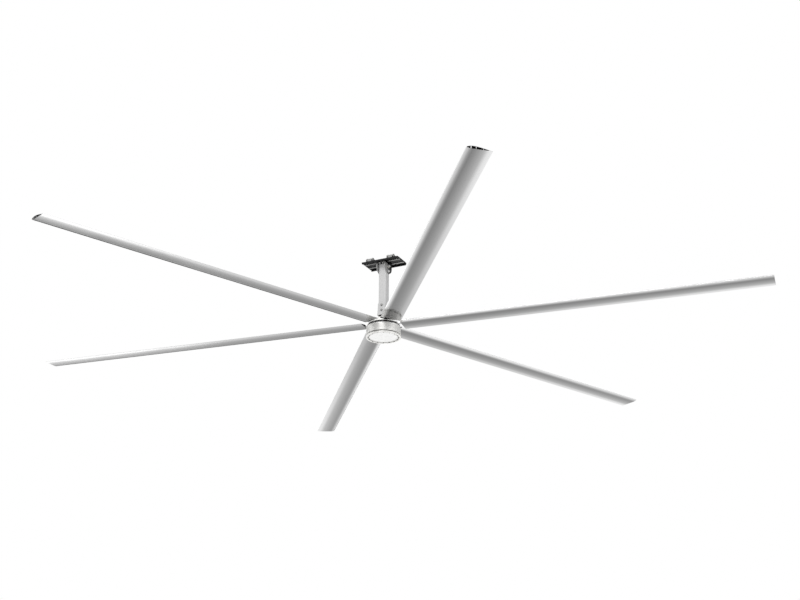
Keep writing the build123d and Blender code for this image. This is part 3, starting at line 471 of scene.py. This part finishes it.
@dataclass(frozen=True)
class DrumMetal(WorkedMetal):
    """Turned aluminium, with painted shade on the floors of the screw pockets of the end ring."""

    pocket_reach: Span = (137.5 * MM, 152.7 * MM)
    pocket_levels: Span = (-779.5 * MM, -766.0 * MM)
    pocket_shade_tone: float = 0.6
    # Noise that mottles the painted shade on the pocket floors, and its range.
    skin: Noise = Noise(240.0, 4.0)
    skin_range: Span = (0.9, 1.0)

    def toned(self, shader: Shader, tone: Socket) -> Socket:
        """Darkens the floors of the pockets as painted shade.

        Args:
            shader: Node tree to add to.
            tone: Colour of the turned surface.

        Returns:
            The changed colour's socket.
        """
        place = shader.place()
        level = shader.between(shader.axes(place)[2], self.pocket_levels)
        ring = shader.between(shader.radius(place), self.pocket_reach)
        # Painted shade on the pocket floors, mottled by a noise.
        skin = shader.spread(shader.noise(place, self.skin), self.skin_range)
        pocket_shade = shader.maths("MULTIPLY", shader.maths("MULTIPLY", level, ring), skin)
        return shader.product(tone, shader.tint(pocket_shade, WHITE, scaled(WHITE, self.pocket_shade_tone)))


@dataclass(frozen=True)
class ZincPlate:
    """Bright zinc on fasteners, with a faint blue and straw bloom."""

    name: str
    roughness: float
    blue: Colour = (0.72, 0.75, 0.82)
    straw: Colour = (0.84, 0.81, 0.72)
    bloom: Noise = Noise(60.0)
    grit: Noise = Noise(1800.0, 2.0)
    grit_height: float = 0.01 * MM
    drift: Span = (0.05, 0.1)
    metal_share: float = 0.6
    edge: float = 0.4 * MM

    def build(self) -> bpy.types.Material:
        """Makes the material.

        Returns:
            The material.
        """
        shader = Shader(self.name)
        place = shader.place()
        bloom = shader.spread(shader.noise(place, self.bloom))
        shader.feed("Base Color", shader.tint(bloom, self.blue, self.straw))
        grit = shader.noise(place, self.grit)
        shader.roughen(grit, self.roughness, self.drift)
        shader.bump(grit, self.grit_height, self.edge)
        shader.fix(metallic=self.metal_share)
        return shader.material


@dataclass(frozen=True)
class MouldedPlastic:
    """Moulded plastic with a fine spark-eroded texture and a soft sheen."""

    name: str
    colour: Colour
    roughness: float
    texture: Noise = Noise(1500.0, 2.0)
    texture_height: float = 0.008 * MM
    cloud: Noise = Noise(18.0, 4.0)
    cloud_depth: float = 0.02
    drift: Span = (0.03, 0.05)
    edge: float = 0.6 * MM

    def build(self) -> bpy.types.Material:
        """Makes the material.

        Returns:
            The material.
        """
        shader = Shader(self.name)
        place = shader.place()
        cloud = shader.spread(shader.noise(place, self.cloud))
        shader.feed("Base Color", shader.tint(cloud, *shades(self.colour, self.cloud_depth)))
        texture = shader.noise(place, self.texture)
        shader.roughen(texture, self.roughness, self.drift)
        shader.bump(texture, self.texture_height, self.edge)
        return shader.material


@dataclass(frozen=True)
class BladeSkin:
    """Anodised extrusion: die lines along the blade, and painted reflection bands: a grey for each
    place on the profile.
    """

    name: str
    roughness: float
    root_painted_bands: Stops
    tip_painted_bands: Stops
    reach: Span = (0.6, 3.65)
    die: Noise = Noise(190.0, 3.0, 0.6)
    fine: Noise = Noise(900.0, 3.0, 0.7)
    fine_share: float = 0.5
    die_height: float = 0.05 * MM
    die_stretch: Place = (0.01, 1.0, 1.0)
    cloud: Noise = Noise(2.2, 5.0, 0.6)
    cloud_share: float = 0.3
    tone_depth: float = 0.05
    drift: Span = (0.03, 0.05)

    def build(self) -> bpy.types.Material:
        """Makes the material, whose second texture coordinate runs round the profile.

        Returns:
            The material.
        """
        shader = Shader(self.name)
        profile = shader.add("ShaderNodeUVMap", uv_map="profile").outputs[0]
        along, share, _ = shader.axes(profile)
        # The greys paint reflection and shade bands round the profile. The root's bands blend into the
        # tip's along the blade.
        root, tip = shader.ramp(share, self.root_painted_bands), shader.ramp(share, self.tip_painted_bands)
        tone = shader.tint(shader.spread(along, value=self.reach), root, tip)
        place = shader.stretched(profile, self.die_stretch)
        die, fine = shader.noise(place, self.die), shader.noise(place, self.fine)
        lines = shader.weighed(die, fine, self.fine_share)
        cloud = shader.noise(shader.place(), self.cloud)
        marks = shader.spread(shader.weighed(lines, cloud, self.cloud_share))
        worn = shader.tint(marks, scaled(WHITE, 1 - self.tone_depth), WHITE)
        shader.feed("Base Color", shader.product(tone, worn))
        shader.roughen(cloud, self.roughness, self.drift)
        shader.bump(lines, self.die_height)
        shader.fix(metallic=1.0)
        return shader.material


# Greys round the blade's profile: under it from the trailing edge at 0 to the nose at 0.5, then over
# it to 1. They are painted reflection and shade bands on the anodised tone: a painted highlight on the
# nose, painted shade under the blade behind the nose that lightens towards the trailing edge, and a
# painted sheen that grows towards the tip.
ROOT_PAINTED_BANDS: Stops = (
    (0.0, 0.57), (0.075, 0.49), (0.15, 0.34), (0.225, 0.265), (0.3, 0.22), (0.35, 0.205),
    (0.37, 0.205), (0.39, 0.26), (0.41, 0.37), (0.43, 0.56), (0.45, 0.78), (0.48, 0.97),
    (0.5, 1.0), (0.54, 0.6), (0.62, 0.42), (1.0, 0.36),
)
TIP_PAINTED_BANDS: Stops = (
    (0.0, 0.95), (0.075, 0.84), (0.15, 0.5), (0.225, 0.38), (0.3, 0.29), (0.375, 0.215),
    (0.41, 0.3), (0.43, 0.4), (0.45, 0.52), (0.48, 0.68), (0.5, 0.78), (0.54, 0.6),
    (0.62, 0.42), (1.0, 0.36),
)
FINISHES = (
    RibbedCoat("bracket_steel", (0.006, 0.006, 0.0065), (0.5, 0.5, 0.49)),
    # The yoke's second, near-black colour is painted shade on its far side and a painted shadow at its
    # top.
    ZincWithPaintedShade("yoke_steel", (0.42, 0.42, 0.415), (0.04, 0.04, 0.04), 0.45),
    WorkedMetal("clamp_steel", (0.33, 0.33, 0.325), 0.5, Grain.CAST),
    WorkedMetal("dark_steel", (0.016, 0.016, 0.017), 0.45, Grain.TURNED),
    ZincPlate("zinc_steel", 0.3),
    PowderCoat("rod_paint", (0.56, 0.56, 0.56), 0.4),
    WorkedMetal("turned_steel", (0.5, 0.5, 0.5), 0.3, Grain.TURNED),
    WorkedMetal("core_steel", (0.22, 0.22, 0.24), 0.45, Grain.CAST),
    WorkedMetal("copper", (0.72, 0.33, 0.18), 0.35, Grain.CAST),
    WorkedMetal("bush_bronze", (0.6, 0.42, 0.2), 0.35, Grain.CAST),
    MouldedPlastic("washer_plastic", (0.04, 0.04, 0.04), 0.5),
    MouldedPlastic("gland_plastic", (0.02, 0.02, 0.02), 0.45),
    WorkedMetal("magnet", (0.15, 0.15, 0.16), 0.4, Grain.CAST),
    DrumMetal(
        "drum_aluminium", (0.97, 0.965, 0.94), 0.42, Grain.TURNED, anisotropy=0.0, metal_share=0.4
    ),
    # Near black on the walls of the blades' hollow cells: painted shade inside the hollow aluminium
    # blade.
    MouldedPlastic("blade_inside", (0.02, 0.02, 0.02), 0.6),
    PowderCoat("cover_dark", (0.012, 0.012, 0.012), 0.35),
    MouldedPlastic("disc_white", (0.97, 0.97, 0.96), 0.35),
    WorkedMetal("arm_aluminium", (0.7, 0.7, 0.7), 0.35, Grain.CAST),
    BladeSkin("blade_aluminium", 0.12, ROOT_PAINTED_BANDS, TIP_PAINTED_BANDS),
)


@dataclass
class BladeSet:
    """Six hollow blades, each a straight extrusion with open ends."""

    finish: bpy.types.Material
    inside: bpy.types.Material
    count: int = 6
    first_angle: float = 7.2
    tip_radius: float = 3650 * MM
    root_radius: float = 180 * MM
    drop: float = 658 * MM
    chord: float = 200 * MM
    lead: float = 67 * MM
    pitch: float = 5.1
    chord_rise: float = 6.2 * MM
    top_height: float = 19.5 * MM
    belly_depth: float = 7.6 * MM
    tail: float = 1.6 * MM
    wall: float = 2.2 * MM
    crest: float = 0.3
    crease: float = 0.18
    nose_power: float = 0.55
    belly_power: float = 0.8
    cells: tuple[Span, ...] = ((0.03, 0.17), (0.20, 0.365), (0.385, 0.64), (0.66, 0.85))
    steps: int = 40
    edge_round: float = 0.35 * MM
    smooth_angle: float = 25.0
    wall_slant: float = 0.3
    round_slant: float = 0.05
    end_margin: float = 0.001

    def upper(self, share: float) -> float:
        """Gives the upper skin's height above the chord line at a share of the chord."""
        power = math.log(0.5) / math.log(self.crest)
        return self.top_height * math.sin(math.pi * share**power) + share * self.tail / 2

    def lower(self, share: float) -> float:
        """Gives the lower skin's depth below the chord line at a share of the chord.

        Args:
            share: Place from the leading edge, 0, to the trailing edge, 1.

        Returns:
            Depth in metres.
        """
        tail = share * self.tail / 2
        if share < self.crease:
            return self.belly_depth * (share / self.crease) ** self.nose_power + tail
        return self.belly_depth * ((1 - share) / (1 - self.crease)) ** self.belly_power + tail

    def point(self, share: float, height: float) -> Point:
        """Places a point of the profile across the blade and above its axis."""
        return (share * self.chord - self.lead, self.chord_rise + height)

    def share_at(self, across: float, margin: float = 0.0) -> float:
        """Gives the share of the chord at a place across the blade, kept off both ends by a margin."""
        return min(max((across + self.lead) / self.chord, margin), 1 - margin)

    def outline(self) -> list[Point]:
        """Lists the outer profile from the trailing edge under the blade and back over the top.

        Returns:
            The points in order.
        """
        steps = self.steps
        rear = [1 - (1 - self.crease) * step / steps for step in range(steps + 1)]
        front = [self.crease * (1 - step / steps) ** 2 for step in range(1, steps)]
        over = [(step / steps) ** 2 for step in range(steps + 1)]
        under_points = [self.point(share, -self.lower(share)) for share in rear + front]
        return under_points + [self.point(share, self.upper(share)) for share in over]

    def cell(self, start: float, end: float) -> list[Point]:
        """Lists the corners of one hollow cell.

        Args:
            start: Share of the chord where it starts.
            end: Share of the chord where it ends.

        Returns:
            Its four corners in order.
        """
        return [
            self.point(start, self.upper(start) - self.wall),
            self.point(end, self.upper(end) - self.wall),
            self.point(end, self.wall - self.lower(end)),
            self.point(start, self.wall - self.lower(start)),
        ]

    def extrusion(self) -> bpy.types.Mesh:
        """Builds one blade's mesh on the X axis, from a filled curve with the cells as holes.

        Returns:
            The mesh.
        """
        curve = bpy.data.curves.new("blade_profile", "CURVE")
        curve.dimensions = "2D"
        curve.fill_mode = "BOTH"
        curve.extrude = (self.tip_radius - self.root_radius) / 2 - self.edge_round
        curve.bevel_depth = self.edge_round
        curve.bevel_resolution = 1
        curve.offset = -self.edge_round
        for loop in [self.outline()] + [self.cell(*span) for span in self.cells]:
            spline = curve.splines.new("POLY")
            spline.points.add(len(loop) - 1)
            spline.use_cyclic_u = True
            for knot, (across, height) in zip(spline.points, loop):
                knot.co = (across, height, 0.0, 1.0)
        holder = bpy.data.objects.new("blade_profile", curve)
        show(holder)
        bpy.context.view_layer.update()
        solid = holder.evaluated_get(bpy.context.evaluated_depsgraph_get())
        mesh = bpy.data.meshes.new_from_object(solid)
        bpy.data.objects.remove(holder)
        bpy.data.curves.remove(curve)
        along_x = Matrix(((0, 0, 1, 0), (1, 0, 0, 0), (0, 1, 0, 0), (0, 0, 0, 1)))
        middle = (self.tip_radius + self.root_radius) / 2
        mesh.transform(Matrix.Translation((middle, 0, 0)) @ along_x)
        return mesh

    def unwrap(self, mesh: bpy.types.Mesh) -> None:
        """Writes the profile coordinate: 0 to 0.5 under the blade, nose at 0.5, 0.5 to 1 over it.

        Args:
            mesh: Blade mesh on the X axis, before it is pitched.
        """
        layer = mesh.uv_layers.new(name="profile")
        for polygon in mesh.polygons:
            for corner in polygon.loop_indices:
                place = mesh.vertices[mesh.loops[corner].vertex_index].co
                half = self.share_at(place.y) / 2
                above = place.z > self.chord_rise
                layer.data[corner].uv = (place.x, 0.5 + half if above else 0.5 - half)

    def shade_cells(self, mesh: bpy.types.Mesh) -> None:
        """Gives the walls of the hollow cells the second finish, whose near black is painted shade
        inside the blade.

        Args:
            mesh: Blade mesh on the X axis, before it is pitched.
        """
        half_wall = self.wall / 2
        for polygon in mesh.polygons:
            share = self.share_at(polygon.center.y, self.end_margin)
            height = polygon.center.z - self.chord_rise
            hidden = half_wall - self.lower(share) < height < self.upper(share) - half_wall
            inner = hidden and abs(polygon.normal.x) < self.wall_slant
            polygon.material_index = 1 if inner else 0

    def keep_ends_flat(self, mesh: bpy.types.Mesh) -> None:
        """Marks edges between the long faces and the rounded ends as sharp, to mirror straight.

        Args:
            mesh: Blade mesh on the X axis, already shaded smooth.
        """
        work = bmesh.new()
        work.from_mesh(mesh)
        for edge in work.edges:
            slants = [abs(face.normal.x) for face in edge.link_faces]
            if len(slants) == 2 and abs(slants[0] - slants[1]) > self.round_slant:
                edge.smooth = False
        work.to_mesh(mesh)
        work.free()

    def build(self) -> Iterable[tuple[bpy.types.Object, str, str]]:
        """Makes the blades.

        Yields:
            Each blade, the body that it rides on and the CAD node that it replaces.
        """
        pitch = Matrix.Rotation(math.radians(-self.pitch), 4, "X")
        for number in range(1, self.count + 1):
            mesh = self.extrusion()
            self.unwrap(mesh)
            mesh.materials.clear()
            mesh.materials.append(self.finish)
            mesh.materials.append(self.inside)
            self.shade_cells(mesh)
            smooth(mesh, self.smooth_angle)
            self.keep_ends_flat(mesh)
            angle = self.first_angle + 360 * (number - 1) / self.count
            turn = Matrix.Rotation(math.radians(angle), 4, "Z")
            mesh.transform(Matrix.Translation((0, 0, -self.drop)) @ turn @ pitch)
            piece = bpy.data.objects.new(f"blade_skin_{number}", mesh)
            show(piece)
            yield piece, "rotor", f"blade_{number}"


@dataclass
class CadDress:
    """Gives the CAD nodes their finishes."""

    finishes: dict[str, bpy.types.Material]

    def dress(self) -> Iterable[str]:
        """Assigns the finish of each node's material slot.

        Yields:
            The name of each dressed node.
        """
        for part in frame["record"]["subparts"]:
            node = frame["nodes"][part["node"]]
            for place in node.material_slots:
                place.material = self.finishes[part["material_slot"]]
            yield part["node"]


@dataclass(frozen=True)
class Card:
    """Matt card that only glossy surfaces reflect, with its near and its far edge along X."""

    name: str
    sides: Span
    edges: Span
    grey: float
    glow: float = 0.0
    heights: Span = (20 * MM, 20 * MM)
    weave: Noise = Noise(40.0)
    weave_depth: float = 0.1
    roughness: float = 0.9

    def build(self, floor_level: float) -> None:
        """Makes the card.

        Args:
            floor_level: Level from which its heights are measured.
        """
        (left, right), (near, far) = self.sides, self.edges
        low, high = (floor_level + height for height in self.heights)
        corners = [(left, near, low), (right, near, low), (right, far, high), (left, far, high)]
        mesh = bpy.data.meshes.new(self.name)
        mesh.from_pydata(corners, [], [(0, 1, 2, 3)])
        shader = Shader(self.name)
        weave = shader.spread(shader.noise(shader.place(), self.weave))
        grey = scaled(WHITE, self.grey)
        shader.feed("Base Color", shader.tint(weave, *shades(grey, self.weave_depth)))
        shader.fix(roughness=self.roughness, specular_ior_level=0.0)
        if self.glow > 0:
            shader.fix(emission_color=WHITE, emission_strength=self.glow)
        mesh.materials.append(shader.material)
        card = bpy.data.objects.new(self.name, mesh)
        card.visible_camera = False
        card.visible_diffuse = False
        card.visible_shadow = False
        card.visible_transmission = False
        show(card)


CARDS = (
    Card("dark_card", (-28.0, 28.0), (-28.0, -1.5), 0.035),
    Card("side_card", (6.0, 40.0), (-1.5, 6.5), 0.035),
    Card("left_card", (-14.0, -9.5), (4.0, 10.5), 0.9, 0.6),
    Card("back_card", (-34.0, -14.5), (15.8, 19.5), 0.9, 0.75),
    Card("far_card", (-120.0, 60.0), (60.0, 60.0), 0.08, heights=(20 * MM, 47.0)),
)


@dataclass
class Studio:
    """Plain floor, cards, a soft lamp, a weak sun, white surroundings and the photograph's camera."""

    camera_place: Place = (5.6184, -11.0268, -5.3501)
    heading: float = 26.273
    tilt: float = 21.837
    roll: float = -0.216
    lens: float = 62.06
    sensor: float = 36.0
    sight: float = 200.0
    floor_level: float = -7.0
    floor_size: float = 400.0
    floor_grey: float = 0.9
    floor_grain: Noise = Noise(3.0, 5.0)
    floor_depth: float = 0.02
    floor_roughness: float = 0.8
    fill_level: float = 0.88
    lamp_place: Place = (6.0, -7.2, 2.7)
    lamp_aim: Place = (0.0, 0.0, -0.7)
    lamp_size: float = 13.0
    lamp_power: float = 240.0
    sun_path: Place = (1.5, 10.0, -9.0)
    sun_power: float = 0.6
    sun_width: float = 20.0

    def camera(self) -> None:
        """Makes the camera that took the photograph."""
        data = bpy.data.cameras.new("camera")
        data.lens = self.lens
        data.sensor_width = self.sensor
        data.clip_end = self.sight
        camera = bpy.data.objects.new("camera", data)
        turn = Matrix.Rotation(math.radians(self.heading), 4, "Z")
        lift = Matrix.Rotation(math.radians(90 + self.tilt), 4, "X")
        spin = Matrix.Rotation(math.radians(-self.roll), 4, "Z")
        camera.matrix_world = Matrix.Translation(self.camera_place) @ turn @ lift @ spin
        show(camera)
        bpy.context.scene.camera = camera

    def world(self) -> None:
        """Makes the surroundings: white to the camera and in reflections, a soft grey as light."""
        world = bpy.data.worlds.new("surroundings")
        world.use_nodes = True
        tree = world.node_tree
        tree.nodes.clear()
        path = tree.nodes.new("ShaderNodeLightPath")
        seen = path.outputs["Is Camera Ray"]
        for kind in ("Is Glossy Ray", "Is Transmission Ray"):
            either = tree.nodes.new("ShaderNodeMath")
            either.operation = "MAXIMUM"
            tree.links.new(seen, either.inputs[0])
            tree.links.new(path.outputs[kind], either.inputs[1])
            seen = either.outputs[0]
        level = tree.nodes.new("ShaderNodeMapRange")
        level.inputs["To Min"].default_value = self.fill_level
        level.inputs["To Max"].default_value = 1.0
        tree.links.new(seen, level.inputs["Value"])
        background = tree.nodes.new("ShaderNodeBackground")
        background.inputs["Color"].default_value = opaque(WHITE)
        tree.links.new(level.outputs["Result"], background.inputs["Strength"])
        output = tree.nodes.new("ShaderNodeOutputWorld")
        tree.links.new(background.outputs[0], output.inputs["Surface"])
        bpy.context.scene.world = world

    def floor(self) -> None:
        """Makes the floor, which shows from above only."""
        half = self.floor_size / 2
        mesh = bpy.data.meshes.new("floor")
        corners = [(-half, -half, 0), (half, -half, 0), (half, half, 0), (-half, half, 0)]
        mesh.from_pydata(corners, [], [(0, 1, 2, 3)])
        shader = Shader("floor")
        grain = shader.spread(shader.noise(shader.place(), self.floor_grain))
        grey = scaled(WHITE, self.floor_grey)
        shader.feed("Base Color", shader.tint(grain, *shades(grey, self.floor_depth)))
        shader.fix(roughness=self.floor_roughness, specular_ior_level=0.0)
        facing = shader.add("ShaderNodeNewGeometry").outputs["Backfacing"]
        clear = shader.add("ShaderNodeBsdfTransparent").outputs[0]
        sides = {0: facing, 1: shader.surface.outputs[0], 2: clear}
        mix = shader.add("ShaderNodeMixShader", sides).outputs[0]
        shader.tree.links.new(mix, shader.output.inputs["Surface"])
        mesh.materials.append(shader.material)
        floor = bpy.data.objects.new("floor", mesh)
        floor.location = (0, 0, self.floor_level)
        show(floor)

    def light(self, name: str, kind: str, place: Place, path: Vector) -> bpy.types.Light:
        """Hangs a light that shines along a path.

        Args:
            name: Name of the light.
            kind: Blender's name of the light type.
            place: Where it hangs.
            path: Direction in which it shines.

        Returns:
            The light's settings.
        """
        data = bpy.data.lights.new(name, kind)
        light = bpy.data.objects.new(name, data)
        light.location = place
        light.rotation_mode = "QUATERNION"
        light.rotation_quaternion = path.to_track_quat("-Z", "Y")
        show(light)
        return data

    def lamps(self) -> None:
        """Makes a large soft lamp that faces the hub, and a weak sun from the front and above."""
        aim = Vector(self.lamp_aim) - Vector(self.lamp_place)
        lamp = self.light("key_lamp", "AREA", self.lamp_place, aim)
        lamp.shape = "SQUARE"
        lamp.size = self.lamp_size
        lamp.energy = self.lamp_power
        sun = self.light("front_sun", "SUN", (0.0, 0.0, 0.0), Vector(self.sun_path))
        sun.energy = self.sun_power
        sun.angle = math.radians(self.sun_width)

    def build(self) -> None:
        """Sets the stage."""
        self.camera()
        self.world()
        self.floor()
        for card in CARDS:
            card.build(self.floor_level)
        self.lamps()
        bpy.context.scene.view_settings.view_transform = "Standard"


def main() -> None:
    """Builds the stage and the fan's pieces in order."""
    logging.basicConfig(level=logging.INFO, format="%(name)s: %(message)s")
    Studio().build()
    made = {finish.name: finish.build() for finish in FINISHES}
    for name in CadDress(made).dress():
        LOG.info("dressed %s", name)
    for piece, body, node in BladeSet(made["blade_aluminium"], made["blade_inside"]).build():
        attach(piece, body)
        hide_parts(node)
        LOG.info("built %s on %s", piece.name, body)


if __name__ == "__main__":
    main()
